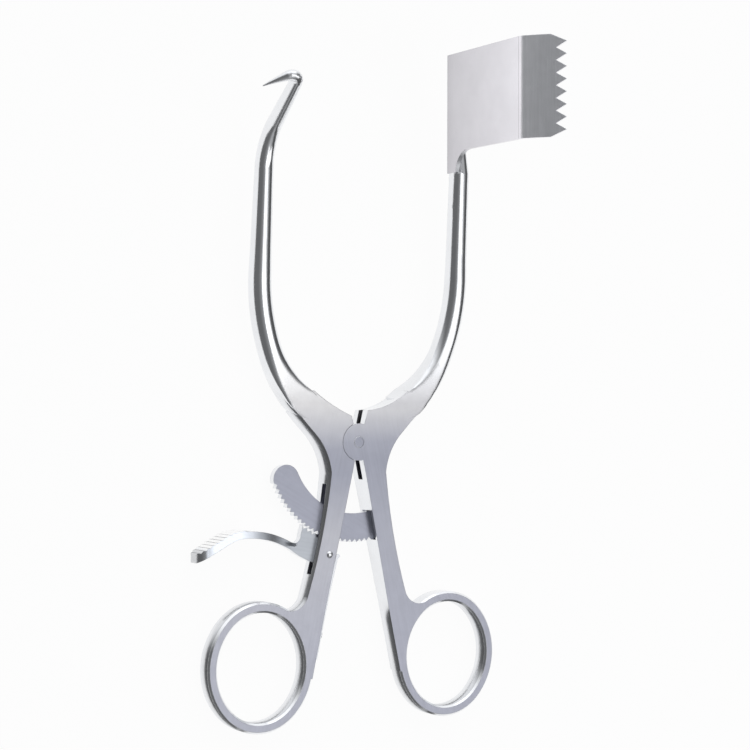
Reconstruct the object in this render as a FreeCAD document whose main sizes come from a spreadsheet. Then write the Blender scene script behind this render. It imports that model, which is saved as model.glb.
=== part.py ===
# A self-retaining surgical retractor with a box lock, a ratchet and a thumb release.
# It lies on its back: +X runs from the hook arm to the blade arm, +Y towards the tips
# and +Z up, the way the blade and the hook reach. The origin is on the pivot's axis,
# at the back face of the box lock. Millimetres and degrees.
import FreeCAD, Part
import math
import os

Vector = FreeCAD.Vector
Placement = FreeCAD.Placement
Rotation = FreeCAD.Rotation

# Driving dimensions. Heights are measured from the middle plane of the arms.
SIZES = {
    # box lock
    "box_thickness": 7.0,
    "cheek_radius": 5.2,
    "cheek_gap": 0.1,
    "shank_top_drop": 4.5,
    "slot_width": 2.2,
    "slot_side_gap": 0.08,
    "tongue_slot_radius": 10.8,
    "tongue_slot_offset": 1.5,
    "tongue_slot_drop": 0.6,
    "pivot_radius": 1.6,
    "running_gap": 0.04,
    "fixed_gap": 0.01,
    "pin_chamfer": 0.15,
    # shanks below the box lock
    "shank_start_x": 1.6,
    "shank_start_y": 6.0,
    "waist_x": 8.8,
    "waist_y": 8.5,
    "shank_middle_x": 11.45,
    "shank_middle_y": 25.5,
    "shank_end_x": 15.9,
    "shank_end_y": 42.6,
    "taper_start": 10.0,
    "taper_end": 46.0,
    # finger rings
    "ring_x": 30.1,
    "ring_y": 61.0,
    "ring_half_width": 14.75,
    "ring_half_length": 16.4,
    "ring_end_radius": 13.6,
    "ring_band": 2.9,
    "ring_thickness": 5.3,
    "ring_edge": 0.55,
    "ring_root_x": 18.4,
    "ring_root_y": 45.5,
    "ring_root_reach": 22.5,
    # necks above the box lock
    "neck_foot": 5.5,
    "crotch_x": 2.6,
    "hook_crotch_y": 7.3,
    "blade_crotch_y": 8.9,
    "neck_inner_x": 9.3,
    "neck_inner_y": 10.5,
    "waist_round_x": 10.0,
    "waist_round_y": 3.7,
    "neck_outer_x": 14.3,
    "neck_outer_y": 2.7,
    "neck_x": 17.3,
    "neck_y": 11.2,
    "neck_angle": 53.0,
    "neck_width": 7.5,
    "neck_edge_radius": 0.3,
    "neck_overlap": 0.3,
    "neck_set": 0.62,
    "neck_blend": 22.0,
    # upper arms
    "bend_radius_low": 31.7,
    "bend_radius_high": 57.0,
    "bend_change_angle": 22.0,
    "bend_steps": 9,
    "round_share": 0.22,
    "arm_diameter_low": 6.95,
    "rod_diameter_low": 6.1,
    "rod_diameter_high": 5.6,
    "lean_angle": 4.3,
    "blade_rod_turn": 0.65,
    # hook
    "hook_bend_start": 73.9,
    "hook_rod_diameter": 5.15,
    "hook_bend_radius": 17.0,
    "hook_lean_angle": 51.0,
    "hook_straight": 14.8,
    "hook_neck_diameter": 3.5,
    "prong_bend_radius": 2.0,
    "prong_turn": 124.0,
    "prong_diameter": 2.7,
    "prong_droop": 0.4,
    "prong_length": 7.2,
    "prong_tip_diameter": 0.3,
    "elbow_steps": 6,
    "prong_steps": 3,
    # blade
    "blade_inset": 2.55,
    "blade_thickness": 1.3,
    "blade_low": 82.8,
    "blade_width": 27.9,
    "blade_back": 2.2,
    "blade_depth": 34.9,
    "lip_angle": 36.0,
    "lip_bend_radius": 2.5,
    "lip_length": 12.0,
    "lip_curl": 10.0,
    "lip_tip_thickness": 0.6,
    "tooth_count": 8,
    "tooth_pitch": 3.42,
    "tooth_depth": 2.9,
    "corner_cut": 4.4,
    "blade_root_drop": 6.1,
    "blade_root_radius": 6.0,
    "spine_length": 13.9,
    "spine_bury": 0.125,
    "spine_end_diameter": 2.6,
    "flat_lead": 21.0,
    "flat_runout": 12.0,
    "flat_run_in": 1.5,
    # ratchet
    "ratchet_tip_radius": 28.0,
    "ratchet_inner_radius": 20.0,
    "ratchet_tooth_height": 0.85,
    "ratchet_pitch": 3.25,
    "ratchet_first_tooth": 23.2,
    "ratchet_tooth_count": 24,
    "ratchet_valley": 0.62,
    "ratchet_end_angle": 24.8,
    "ratchet_root_depth": 3.6,
    "seat_radius": 3.2,
    "seat_depth": 0.9,
    "seat_margin": 0.25,
    # release lever
    "lever_slot_lead": 7.1,
    "lever_slot_tail": 6.65,
    "lever_pin_reach": 4.34,
    "lever_pin_inset": 2.05,
    "lever_pin_radius": 0.97,
    "lever_pin_dome": 0.45,
    "lever_tooth_count": 4,
    "lever_tooth_gap": 0.06,
    "engage_angle": 4.5,
    "lever_head_reach": 8.2,
    "lever_head_rise": 5.45,
    "lever_hollow_reach": 0.32,
    "lever_hollow_rise": 0.22,
    "lever_shoulder_reach": 2.07,
    "lever_shoulder_rise": 0.99,
    "lever_back_reach": 1.86,
    "lever_back_rise": 4.45,
    "lever_chin_reach": 4.56,
    "lever_chin_drop": 2.05,
    "heel_drop": 2.65,
    "heel_radius": 0.9,
    "heel_reach": 0.02,
    "tab_thickness": 1.9,
    "tab_start": 10.96,
    "tab_crest": 25.96,
    "tab_crest_rise": 6.3,
    "tab_rise_angle": 28.0,
    "tab_fall_radius": 12.0,
    "tab_length": 40.76,
    "pad_width": 7.0,
    "pad_flare": 23.96,
    "flare_bow": 0.25,
    "ridge_height": 0.35,
    "ridge_pitch": 1.4,
    "ridge_count": 11,
    # leaf spring and its screw
    "spring_thickness": 0.6,
    "spring_width": 4.2,
    "spring_length": 28.2,
    "spring_top_drop": 0.55,
    "spring_seat_length": 9.8,
    "spring_gap": 0.62,
    "spring_curl": 0.75,
    "spring_bow": 0.3,
    "screw_from_foot": 6.6,
    "screw_radius": 0.9,
    "screw_depth": 3.4,
    "screw_head_radius": 1.45,
    "screw_head_height": 1.0,
    "screw_rim_height": 0.55,
    "screw_slot_width": 0.4,
    "screw_slot_depth": 0.4,
}

doc = FreeCAD.newDocument("surgical_retractor")
sheet = doc.addObject("Spreadsheet::Sheet", "sizes")
for row, (alias, value) in enumerate(SIZES.items(), 1):
    sheet.set(f"A{row}", alias)
    sheet.set(f"B{row}", str(value))
    sheet.setAlias(f"B{row}", alias)
doc.recompute()

FAR = 200.0
HOOK_SIDE = -1
BLADE_SIDE = 1


def size(alias):
    return float(sheet.get(alias))


def new_body(label):
    """A body whose own XY plane is the middle plane of the arms."""
    body = doc.addObject("PartDesign::Body", label)
    body.Label = label
    body.setExpression("Placement.Base.z", "sizes.box_thickness / 2")
    return body


def origin_feature(body, role):
    return next(item for item in body.Origin.OriginFeatures if item.Role == role)


def new_sketch(body, name, role="XY_Plane", offset=None):
    sketch = body.newObject("Sketcher::SketchObject", name)
    sketch.AttachmentSupport = [(origin_feature(body, role), "")]
    sketch.MapMode = "FlatFace"
    if offset is not None:
        sketch.AttachmentOffset = offset
    return sketch


def draw_outline(sketch, start, steps, flip=1):
    """Closed outline: a step of one point is a line, a step of two points is an arc."""
    here = Vector(flip * start[0], start[1], 0)
    for step in steps:
        ends = [Vector(flip * x, y, 0) for x, y in step]
        if len(ends) == 1:
            sketch.addGeometry(Part.LineSegment(here, ends[0]), False)
        else:
            sketch.addGeometry(Part.Arc(here, ends[0], ends[1]), False)
        here = ends[-1]
    return sketch


def draw_circle(sketch, x, y, radius):
    sketch.addGeometry(Part.Circle(Vector(x, y, 0), Vector(0, 0, 1), radius), False)
    return sketch


def add_pad(body, name, sketch, length):
    """Pad to both sides of its sketch; the length is an expression."""
    pad = body.newObject("PartDesign::Pad", name)
    pad.Profile = sketch
    pad.setExpression("Length", length)
    pad.SideType = "Symmetric"
    return pad


def cut_pocket(body, name, sketch, length):
    """Pocket to both sides of its sketch; the length is an expression."""
    pocket = body.newObject("PartDesign::Pocket", name)
    pocket.Profile = sketch
    pocket.setExpression("Length", length)
    pocket.SideType = "Symmetric"
    return pocket


def mirror_about_middle(body, name, feature):
    mirrored = body.newObject("PartDesign::Mirrored", name)
    mirrored.Originals = [feature]
    mirrored.MirrorPlane = (origin_feature(body, "XY_Plane"), [""])
    body.Tip = mirrored
    return mirrored


def polar(radius, angle):
    """Point on the hook side, at an angle below the horizontal through the pivot."""
    turn = math.radians(180 + angle)
    return (radius * math.cos(turn), radius * math.sin(turn))


# Shared geometry of the two arms, with x counted away from the pivot


def ring_side_radius():
    """Radius of the ring's long sides, tangent to its round ends."""
    offset = size("ring_half_length") - size("ring_end_radius")
    half = size("ring_half_width")
    end = size("ring_end_radius")
    return (half ** 2 + offset ** 2 - end ** 2) / (2 * (half - end))


def ring_oval(grow=0.0):
    """Start point and four arcs of the ring's middle line, or of a line beside it."""
    cx, cy = size("ring_x"), -size("ring_y")
    half, length, end = size("ring_half_width"), size("ring_half_length"), size("ring_end_radius")
    side = ring_side_radius()
    up, out = length - end, side - half
    turn = math.atan2(up, out)
    join_x = -out + (side + grow) * math.cos(turn)
    join_y = (side + grow) * math.sin(turn)
    top, right = length + grow, half + grow
    start = (cx + join_x, cy - join_y)
    steps = [
        ((cx + right, cy), (cx + join_x, cy + join_y)),
        ((cx, cy + top), (cx - join_x, cy + join_y)),
        ((cx - right, cy), (cx - join_x, cy - join_y)),
        ((cx, cy - top), start),
    ]
    return start, steps


def shank_tangent():
    """Unit direction of the shank's inner edge and the point where it meets the ring."""
    start = Vector(size("shank_start_x"), -size("shank_start_y"), 0)
    reach = ring_side_radius() + size("ring_band") / 2
    centre = Vector(size("ring_x") + ring_side_radius() - size("ring_half_width"), -size("ring_y"), 0)
    line = centre - start
    bearing = math.atan2(line.y, line.x) - math.asin(reach / line.Length)
    along = Vector(math.cos(bearing), math.sin(bearing), 0)
    return along, start + along * math.sqrt(line.Length ** 2 - reach ** 2)


def shank_wall_x(y):
    """Distance of the shank's inner wall from the pivot's plane, at a height below it."""
    along = shank_tangent()[0]
    return size("shank_start_x") - along.x / along.y * (y - size("shank_start_y"))


def neck_end():
    """Inner and outer corners where the flat neck hands over to the arm's loft."""
    turn = math.radians(size("neck_angle"))
    outward = Vector(math.cos(turn), -math.sin(turn), 0) * (size("neck_width") / 2)
    onward = Vector(math.sin(turn), math.cos(turn), 0) * size("neck_overlap")
    centre = Vector(size("neck_x"), size("neck_y"), 0) + onward
    return centre - outward, centre + outward


def arm_outline(crotch_y):
    """Shank, box lock and neck of one arm as one outline, up to the pivot."""
    along, touch = shank_tangent()
    inner, outer = neck_end()
    inside = size("ring_band")
    top = size("shank_top_drop")
    ring_top_centre = size("ring_y") - size("ring_half_length") + size("ring_end_radius")
    flat_end_radius = size("ring_end_radius") + size("ring_band") / 2 - size("ring_edge")
    reach_x = size("ring_root_reach")
    reach_y = -ring_top_centre + math.sqrt(flat_end_radius ** 2 - (size("ring_x") - reach_x) ** 2)
    start = (shank_wall_x(top), -top)
    steps = [
        ((touch.x, touch.y),),
        ((touch.x + inside, touch.y),),
        ((reach_x + inside, reach_y - inside),),
        ((reach_x, reach_y),),
        ((size("ring_root_x"), -size("ring_root_y")), (size("shank_end_x"), -size("shank_end_y"))),
        ((size("shank_middle_x"), -size("shank_middle_y")), (size("waist_x"), -size("waist_y"))),
        ((size("waist_round_x"), -size("waist_round_y")), (size("neck_outer_x"), size("neck_outer_y"))),
        ((outer.x, outer.y),),
        ((inner.x, inner.y),),
        ((size("neck_inner_x"), size("neck_inner_y")), (size("crotch_x"), crotch_y)),
        ((size("shank_start_x"), top),),
        (start,),
    ]
    return start, steps


def arm_slope(y):
    """Forward lean of the arm's axis, as rise in Z for each unit of Y."""
    blend = 1 - min((y - size("neck_y")) / size("neck_blend"), 1)
    return math.tan(math.radians(size("lean_angle"))) + 2 * blend * size("neck_set") / size("neck_blend")


def neck_height(y):
    """Height of the neck's middle above the arms' middle plane: it leans forward."""
    return arm_slope(size("neck_y")) * (y - size("neck_foot"))


def arm_height(y):
    """Height of the upper arm's axis above the middle plane."""
    rise = y - size("neck_y")
    blend = 1 - min(rise / size("neck_blend"), 1)
    lean = math.tan(math.radians(size("lean_angle"))) * rise
    return neck_height(size("neck_y")) + lean + size("neck_set") * (1 - blend ** 2)


def arm_bend_point(angle):
    """Point of the arm's axis where it makes this angle with the tips' direction."""
    first, change = math.radians(size("neck_angle")), math.radians(size("bend_change_angle"))
    turn = math.radians(angle)
    low, high = size("bend_radius_low"), size("bend_radius_high")
    middle = max(turn, change)
    x = size("neck_x") + low * (math.cos(middle) - math.cos(first))
    y = size("neck_y") + low * (math.sin(first) - math.sin(middle))
    if turn < change:
        x += high * (math.cos(turn) - math.cos(change))
        y += high * (math.sin(change) - math.sin(turn))
    return x, y


def rod_x():
    return arm_bend_point(0)[0]


def section_place(side, point, across, up):
    """Placement of a section: its x axis across the arm, its y axis towards up."""
    origin = Vector(side * point[0], point[1], point[2])
    x_axis = Vector(side * across[0], across[1], across[2])
    y_axis = Vector(side * up[0], up[1], up[2])
    return Placement(origin, Rotation(x_axis, y_axis, x_axis.cross(y_axis), "ZXY"))


def draw_rounded(sketch, width, height, radius, roundness):
    """Smooth section about the sketch's origin, of eight arcs. At roundness 0 its sides are
    flat and its corners have the radius given; at 1 it is a circle or an oval."""
    w, t = width / 2, height / 2
    half_eighth = math.radians(22.5)
    mean = (w + t) / 2
    cut = radius + (mean * (1 - math.sin(half_eighth)) - radius) * roundness
    lift = half_eighth * roundness
    bulge = (mean - cut) * math.tan(lift / 2)
    sagitta = (cut - bulge) * math.tan(math.radians(22.5) - lift / 2) / 2
    middle = (bulge + cut) / 2 - sagitta
    steps = []
    for turn, (sx, sy) in enumerate(((1, 1), (-1, 1), (-1, -1), (1, -1))):
        on_side = (sx * (w - bulge), sy * (t - cut))
        on_end = (sx * (w - cut), sy * (t - bulge))
        corner = (sx * (w - middle), sy * (t - middle))
        if turn % 2 == 0:
            first, last, crown = on_side, on_end, (sx * w, 0)
        else:
            first, last, crown = on_end, on_side, (0, sy * t)
        steps += [(crown, first) if roundness else (first,), (corner, last)]
    return draw_outline(sketch, steps[-1][-1], steps)


def draw_chamfered(sketch, width, height, cut):
    """Rectangle about the sketch's origin with its corners cut off."""
    w, t = width / 2, height / 2
    corners = []
    for sx, sy in ((1, 1), (-1, 1), (-1, -1), (1, -1)):
        pair = [(sx * w, sy * (t - cut)), (sx * (w - cut), sy * t)]
        corners += pair if sx == sy else pair[::-1]
    return draw_outline(sketch, corners[-1], [(corner,) for corner in corners])


def arm_axes(angle, y):
    """The arm's heading, across and up directions at this angle and height."""
    turn, slope = math.radians(angle), arm_slope(y)
    heading = Vector(math.sin(turn), math.cos(turn), slope * math.cos(turn)).normalize()
    up = Vector(0, -slope, 1).normalize()
    return heading, heading.cross(up), up


def rod_point(end_angle, y):
    """Point of the straight rod's axis at a height above the pivot."""
    foot_x, foot_y = arm_bend_point(end_angle)
    heading = arm_axes(end_angle, foot_y)[0]
    return Vector(foot_x, foot_y, arm_height(foot_y)) + heading * ((y - foot_y) / heading.y)


def arm_section(body, name, side, angle, point):
    """Sketch square to the arm's axis."""
    across, up = arm_axes(angle, point.y)[1:]
    return new_sketch(body, name, offset=section_place(side, point, across, up))


def arm_stations(end_angle):
    """Angle, width, thickness, corner radius and roundness of each section of the bend."""
    first, round_share = size("neck_angle"), size("round_share")
    neck = (size("neck_width"), size("box_thickness"), size("neck_edge_radius"), 0.0)
    arm, rod = size("arm_diameter_low"), size("rod_diameter_low")
    steps = round(size("bend_steps"))
    stations = []
    for step in range(steps + 1):
        share = step / steps
        if share < round_share:
            rounded = (arm, arm, arm / 2, 1.0)
            section = [a + (b - a) * share / round_share for a, b in zip(neck, rounded)]
        else:
            diameter = arm + (rod - arm) * (share - round_share) / (1 - round_share)
            section = [diameter, diameter, diameter / 2, 1.0]
        stations.append((first + (end_angle - first) * share, section))
    return stations


def arm_loft(body, side, end_angle, top_y, top_diameter):
    """The neck grows from a flat section into a round rod, which runs straight to its top."""
    sketches = []
    for number, (angle, section) in enumerate(arm_stations(end_angle)):
        x, y = arm_bend_point(angle)
        point = Vector(x, y, arm_height(y))
        sketch = arm_section(body, f"arm_section_{number}", side, angle, point)
        sketches.append(draw_rounded(sketch, *section))
    add_loft(body, "arm_loft", sketches)
    foot = arm_section(body, "rod_foot", side, end_angle, point)
    draw_circle(foot, 0, 0, size("rod_diameter_low") / 2)
    head = arm_section(body, "rod_head", side, end_angle, rod_point(end_angle, top_y))
    draw_circle(head, 0, 0, top_diameter / 2)
    return add_loft(body, "rod", [foot, head])


def add_loft(body, name, sketches):
    """Straight-sided loft from each section to the next."""
    loft = body.newObject("PartDesign::AdditiveLoft", name)
    loft.Profile = sketches[0]
    loft.Sections = sketches[1:]
    loft.Ruled = True
    return loft


def ring_and_shank(body, side):
    """Flat blank of an arm, thinned towards its finger ring."""
    crotch_y = size("hook_crotch_y") if side == HOOK_SIDE else size("blade_crotch_y")
    start, steps = arm_outline(crotch_y)
    blank = new_sketch(body, "arm_outline")
    draw_outline(blank, start, steps, side)
    add_pad(body, "arm_blank", blank, "sizes.box_thickness * 2")
    inside = new_sketch(body, "ring_inside")
    start, steps = ring_oval()
    draw_outline(inside, start, steps, side)
    cut_pocket(body, "ring_room", inside, "sizes.box_thickness * 2")
    # the faces thin towards the ring and lean forward up the neck
    thin = new_sketch(body, "face_profile", "YZ_Plane")
    box, ring = size("box_thickness") / 2, size("ring_thickness") / 2
    high, low, foot = -size("taper_start"), -size("taper_end"), size("neck_foot")
    end = foot + size("neck_y")
    lean = neck_height(end)
    for face in (1, -1):
        clear = face * size("box_thickness") * 2
        draw_outline(thin, (high, face * box), [((low, face * ring),), ((-FAR, face * ring),), ((-FAR, clear),),
                                                ((end, clear),), ((end, face * box + lean),),
                                                ((foot, face * box),), ((high, face * box),)])
    cut_pocket(body, "faces", thin, f"{FAR}")
    path = new_sketch(body, "ring_path")
    start, steps = ring_oval()
    draw_outline(path, start, steps, side)
    band = Placement(Vector(side * size("ring_x"), -size("ring_y") + size("ring_half_length"), 0),
                     Rotation(Vector(0, 1, 0), Vector(0, 0, 1), Vector(1, 0, 0), "ZXY"))
    section = new_sketch(body, "ring_section", offset=band)
    draw_chamfered(section, size("ring_band"), size("ring_thickness"), size("ring_edge"))
    ring_pipe = body.newObject("PartDesign::AdditivePipe", "ring")
    ring_pipe.Profile = section
    ring_pipe.Spine = path
    return ring_pipe


def hook_path():
    """Ends of the bend and of the straight above it, in the rod's own lengthwise plane."""
    lean, final = math.radians(size("lean_angle")), math.radians(size("hook_lean_angle"))
    radius = size("hook_bend_radius")
    start = Vector(size("hook_bend_start"), arm_height(size("hook_bend_start")), 0)
    centre = start + Vector(-math.sin(lean), math.cos(lean), 0) * radius
    points = [start]
    for turn in ((lean + final) / 2, final):
        points.append(centre + Vector(math.sin(turn), -math.cos(turn), 0) * radius)
    points.append(points[-1] + Vector(math.cos(final), math.sin(final), 0) * size("hook_straight"))
    return points


def hook_rod(body):
    """The rod bends forward and thins towards the hook."""
    start, middle, bent, end = hook_path()
    across = Vector(1, 0, 0)
    plane = Placement(Vector(0, 0, -rod_x()), Rotation())
    path = new_sketch(body, "hook_path", "YZ_Plane", plane)
    path.addGeometry(Part.Arc(start, middle, bent), False)
    path.addGeometry(Part.LineSegment(bent, end), False)
    ends = []
    for name, point, angle, diameter in (
            ("hook_rod_foot", start, "lean_angle", "hook_rod_diameter"),
            ("hook_rod_top", end, "hook_lean_angle", "hook_neck_diameter")):
        turn = math.radians(size(angle))
        facing = Vector(0, -math.sin(turn), math.cos(turn))
        place = section_place(1, (-rod_x(), point.x, point.y), across, facing)
        ends.append(draw_circle(new_sketch(body, name, offset=place), 0, 0, size(diameter) / 2))
    pipe = body.newObject("PartDesign::AdditivePipe", "hook_rod")
    pipe.Profile = ends[0]
    pipe.Spine = path
    pipe.Sections = ends[1:]
    pipe.Transformation = "Multisection"
    return pipe


def hook_end(body):
    """Elbow at the top of the rod, and the sharp prong that points outward."""
    turn = math.radians(size("hook_lean_angle"))
    across = Vector(1, 0, 0)
    along = Vector(0, math.cos(turn), math.sin(turn))
    normal = Vector(0, -math.sin(turn), math.cos(turn))
    top = hook_path()[-1]
    diameter, bend = size("hook_neck_diameter"), size("prong_bend_radius")
    centre = Vector(-rod_x() - bend, top.x, top.y)
    prong, tip = size("prong_diameter"), size("prong_tip_diameter")
    stations = []
    steps = round(size("elbow_steps"))
    for step in range(steps + 1):
        turn = math.radians(size("prong_turn")) * step / steps
        radial = across * math.cos(turn) + along * math.sin(turn)
        stations.append((centre + radial * bend, radial, diameter + (prong - diameter) * step / steps))
    start, heading = stations[-1][0], along * math.cos(turn) - across * math.sin(turn)
    steps = round(size("prong_steps"))
    for step in range(1, steps + 1):
        share = step / steps
        point = start + heading * (size("prong_length") * share) - radial * (size("prong_droop") * share ** 2)
        stations.append((point, radial, prong + (tip - prong) * share))
    sketches = []
    for number, (point, facing, width) in enumerate(stations):
        sketch = new_sketch(body, f"prong_section_{number}", offset=section_place(1, point, facing, normal))
        sketches.append(draw_circle(sketch, 0, 0, width / 2))
    return add_loft(body, "prong", sketches)


def middle_slot(body, name, start, steps, flip=1):
    """Slot through the middle plane, cut from an outline in that plane."""
    sketch = new_sketch(body, f"{name}_outline")
    draw_outline(sketch, start, steps, flip)
    return cut_pocket(body, name, sketch, "sizes.slot_width")


def drill(body, name, x, y, radius):
    sketch = new_sketch(body, f"{name}_circle")
    draw_circle(sketch, x, y, radius)
    return cut_pocket(body, name, sketch, "sizes.box_thickness * 3")


def wall_crossing(radius, inset=0.0):
    """Depth below the pivot at which a line inside the inner wall crosses a circle."""
    along = shank_tangent()[0]
    slope = -along.x / along.y
    offset = shank_wall_x(0) + inset / -along.y
    a, b, c = 1 + slope ** 2, 2 * slope * offset, offset ** 2 - radius ** 2
    return (-b + math.sqrt(b ** 2 - 4 * a * c)) / (2 * a)


def lever_pin_centre():
    """The lever's pin stands clear of the ratchet's teeth, inside the shank."""
    inset = size("lever_pin_inset")
    depth = wall_crossing(size("ratchet_tip_radius") + size("lever_pin_reach"), inset)
    along = shank_tangent()[0]
    return -shank_wall_x(depth) - inset / -along.y, -depth


def wall_axes():
    """Direction down the hook arm's inner wall, and the one that points away from it."""
    along = shank_tangent()[0]
    down = Vector(-along.x, along.y, 0)
    return down, Vector(-down.y, down.x, 0)


def wall_point(y, away=0.0):
    """Point beside the hook arm's inner wall, level with a height below the pivot."""
    out = wall_axes()[1]
    return Vector(-shank_wall_x(y), -y, 0) + out * away


def hook_arm():
    body = new_body("hook_arm")
    ring_and_shank(body, HOOK_SIDE)
    arm_loft(body, HOOK_SIDE, 0, size("hook_bend_start"), size("hook_rod_diameter"))
    hook_rod(body)
    hook_end(body)
    # recesses for the cheeks, on both faces, that leave the tongue between them
    tongue = size("slot_width") - 2 * size("slot_side_gap")
    face = Placement(Vector(0, 0, tongue / 2 + FAR / 2), Rotation())
    recess = new_sketch(body, "cheek_recess_circle", offset=face)
    draw_circle(recess, 0, 0, size("cheek_radius") + size("cheek_gap"))
    cheek = cut_pocket(body, "cheek_recess", recess, f"{FAR}")
    mirror_about_middle(body, "cheek_recess_back", cheek)
    lobe = new_sketch(body, "tongue_circle")
    draw_circle(lobe, 0, 0, size("cheek_radius") - 2 * size("cheek_gap"))
    add_pad(body, "tongue", lobe, "sizes.slot_width - 2 * sizes.slot_side_gap")
    drill(body, "pivot_hole", 0, 0, size("pivot_radius") + size("running_gap"))
    # slot for the ratchet and the lever, square to the shank
    out = wall_axes()[1]
    width = size("waist_x")
    slot_top = size("ratchet_inner_radius") - size("lever_slot_lead")
    slot_bottom = size("lever_slot_tail") - lever_pin_centre()[1]
    top = wall_point(slot_top, width)
    bottom = wall_point(slot_bottom, width)
    corners = [top, bottom, bottom - out * 3 * width, top - out * 3 * width, top]
    middle_slot(body, "lever_slot", (top.x, top.y), [((c.x, c.y),) for c in corners[1:]])
    x, y = lever_pin_centre()
    drill(body, "lever_pin_hole", x, y, size("lever_pin_radius") + size("fixed_gap"))
    # blind hole for the spring's screw, square to the inner wall
    hole = new_sketch(body, "screw_hole_circle", offset=screw_place(0))
    draw_circle(hole, 0, 0, size("screw_radius") + size("fixed_gap"))
    screw_hole = cut_pocket(body, "screw_hole", hole, "2 * sizes.screw_depth")
    body.Tip = screw_hole
    return body


def screw_place(away):
    """Sketch plane square to the screw, at a distance from the inner wall."""
    down, out = wall_axes()
    return Placement(wall_point(screw_depth(), away), Rotation(down, out.cross(down), out, "ZXY"))


def spring_foot():
    """Depth of the leaf spring's foot below the pivot."""
    return size("spring_top_drop") - lever_pin_centre()[1] + size("spring_length")


def screw_depth():
    return spring_foot() - size("screw_from_foot")


def blade_rod_top():
    """Top of the blade arm's straight rod, which leans in a little to meet the blade."""
    return rod_point(-size("blade_rod_turn"), blade_root())


def blade_face_x():
    """The blade's inner face: a flat ground on the rod continues it."""
    return blade_rod_top().x - size("blade_inset")


def blade_back_z():
    return blade_rod_top().z - size("blade_back")


def blade_root():
    """Height above the pivot at which the blade's root begins on the rod."""
    return size("blade_low") - size("blade_root_drop")


def spine_end():
    """Height above the pivot at which the spine behind the blade ends."""
    return size("blade_low") + size("spine_length")


def blade_spine(body):
    """The rod thins into a spine behind the blade."""
    start = blade_rod_top()
    end_diameter = size("spine_end_diameter")
    end_x = blade_face_x() + size("blade_thickness") + end_diameter * size("spine_bury")
    end = Vector(end_x, spine_end(), start.z)
    foot = arm_section(body, "spine_foot", BLADE_SIDE, -size("blade_rod_turn"), start)
    draw_circle(foot, 0, 0, size("rod_diameter_high") / 2)
    head = new_sketch(body, "spine_head", offset=section_place(BLADE_SIDE, end, (1, 0, 0), (0, 0, 1)))
    draw_circle(head, 0, 0, end_diameter / 2)
    return add_loft(body, "spine", [foot, head])


def ratchet_root_span():
    """Ends of the ratchet's root along the blade arm's inner wall, below the pivot."""
    return [wall_crossing(size("ratchet_inner_radius")), wall_crossing(size("ratchet_tip_radius"))]


def blade_arm():
    body = new_body("blade_arm")
    ring_and_shank(body, BLADE_SIDE)
    arm_loft(body, BLADE_SIDE, -size("blade_rod_turn"), blade_root(), size("rod_diameter_high"))
    cheeks = new_sketch(body, "cheek_circle")
    draw_circle(cheeks, 0, 0, size("cheek_radius"))
    add_pad(body, "cheeks", cheeks, "sizes.box_thickness")
    blade_spine(body)
    # round slot that takes the tongue
    slot = new_sketch(body, "tongue_slot_circle")
    draw_circle(slot, -size("tongue_slot_offset"), -size("tongue_slot_drop"), size("tongue_slot_radius"))
    cut_pocket(body, "tongue_slot", slot, "sizes.slot_width")
    drill(body, "pivot_hole", 0, 0, size("pivot_radius") + size("fixed_gap"))
    # flat on the rod that carries on the blade's face, running out towards the neck
    face, root, end = blade_face_x(), blade_root(), spine_end() + size("blade_low")
    low = root - size("flat_lead")
    high = low + size("flat_runout")
    clear = face - size("rod_diameter_low")
    runout = face - size("flat_run_in")
    flat = new_sketch(body, "rod_flat_outline")
    draw_outline(flat, (face, high), [((face, end),), ((clear, end),), ((clear, low),),
                                      ((runout, low),), ((face, high),)])
    cut_pocket(body, "rod_flat", flat, f"{FAR}")
    # seat of the blade's plate
    seat_x = face + size("blade_thickness")
    seat = new_sketch(body, "blade_seat_outline")
    draw_outline(seat, (seat_x, root), [((seat_x, end),), ((clear, end),), ((clear, root),), ((seat_x, root),)])
    cut_pocket(body, "blade_seat", seat, f"{FAR}")
    # scooped seat and mortise of the ratchet
    top, bottom = ratchet_root_span()
    along = shank_tangent()[0]
    inward = Vector(-along.y, along.x, 0)
    margin = size("seat_margin")
    start = Vector(shank_wall_x(top), -top, 0) - along * margin
    length = (bottom - top) / -along.y + 2 * margin
    axis = start + along * (length / 2) + inward * (size("seat_depth") - size("seat_radius"))
    place = Placement(axis, Rotation(inward, Vector(0, 0, 1), inward.cross(Vector(0, 0, 1)), "ZXY"))
    scoop = new_sketch(body, "ratchet_seat_circle", offset=place)
    draw_circle(scoop, 0, 0, size("seat_radius"))
    cut_pocket(body, "ratchet_seat", scoop, f"{length}")
    depth = size("ratchet_root_depth") + size("fixed_gap")
    corners = [start - inward * depth, start + inward * depth,
               start + inward * depth + along * length, start - inward * depth + along * length]
    steps = [((c.x, c.y),) for c in corners[1:] + corners[:1]]
    mortise = middle_slot(body, "ratchet_mortise", (corners[0].x, corners[0].y), steps)
    body.Tip = mortise
    return body


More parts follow.
